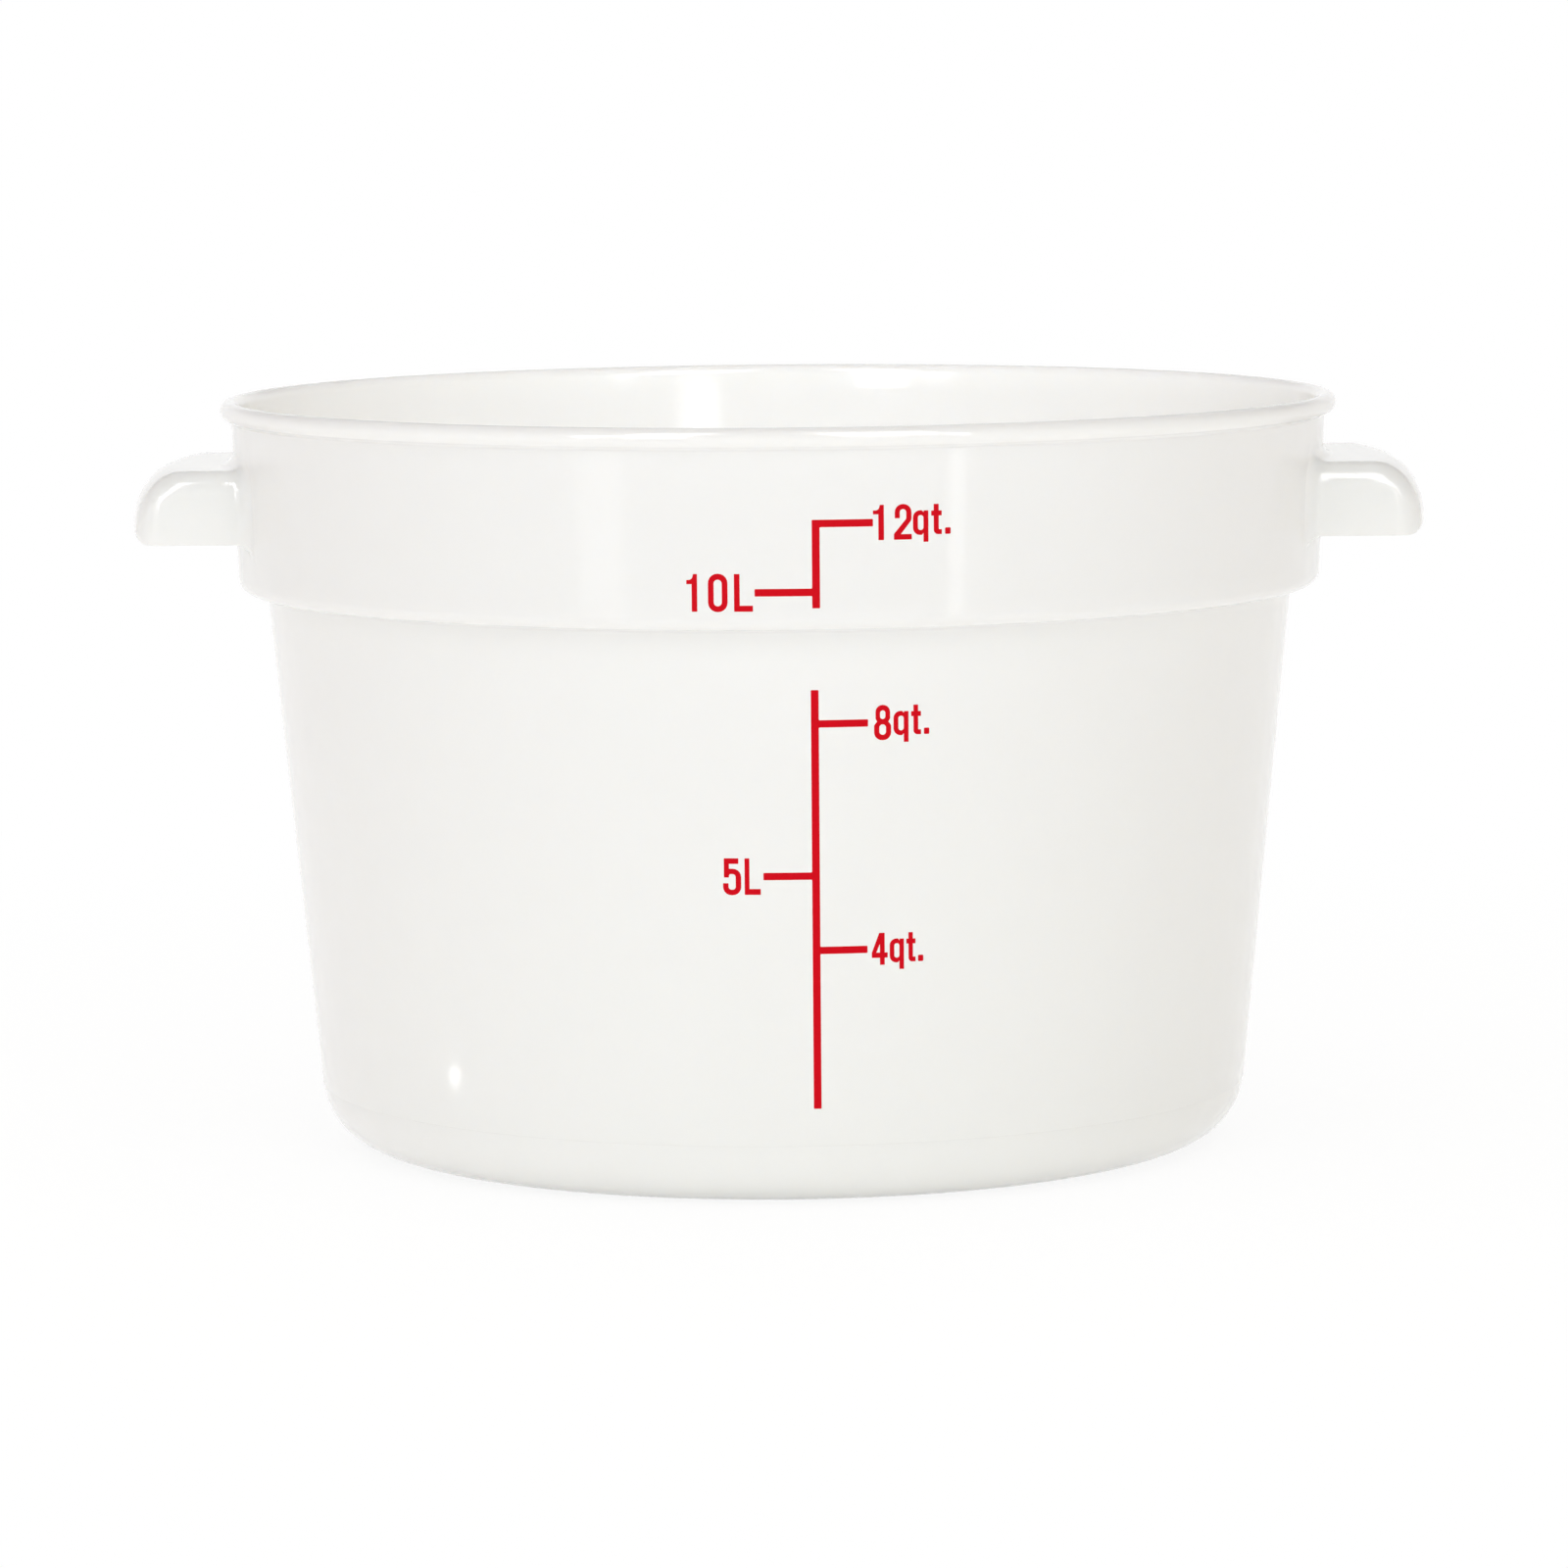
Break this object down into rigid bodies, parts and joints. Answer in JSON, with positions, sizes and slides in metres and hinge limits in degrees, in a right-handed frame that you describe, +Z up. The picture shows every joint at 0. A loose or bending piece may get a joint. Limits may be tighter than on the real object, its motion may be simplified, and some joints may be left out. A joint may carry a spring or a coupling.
{
  "type": "round food storage container",
  "caption": "Round translucent food storage tub with a tapered body, a wider collar on a stacking shoulder, a beaded rim, hollow side grips and a printed volume scale.",
  "frame": {"origin": "on the tub's axis, in the plane of the foot ring that it stands on", "axes": "+Z up along the tub's axis, +X towards one grip, -Y towards the printed scale"},
  "size_m": [0.3684, 0.319, 0.214],
  "materials": {
    "polypropylene": "moulded, satin, milky translucent",
    "red_ink": "screen-printed, satin"
  },
  "bodies": {
    "root": {"tub": "polypropylene", "upper_scale_print": "red_ink", "lower_scale_print": "red_ink"}
  },
  "joints": []
}
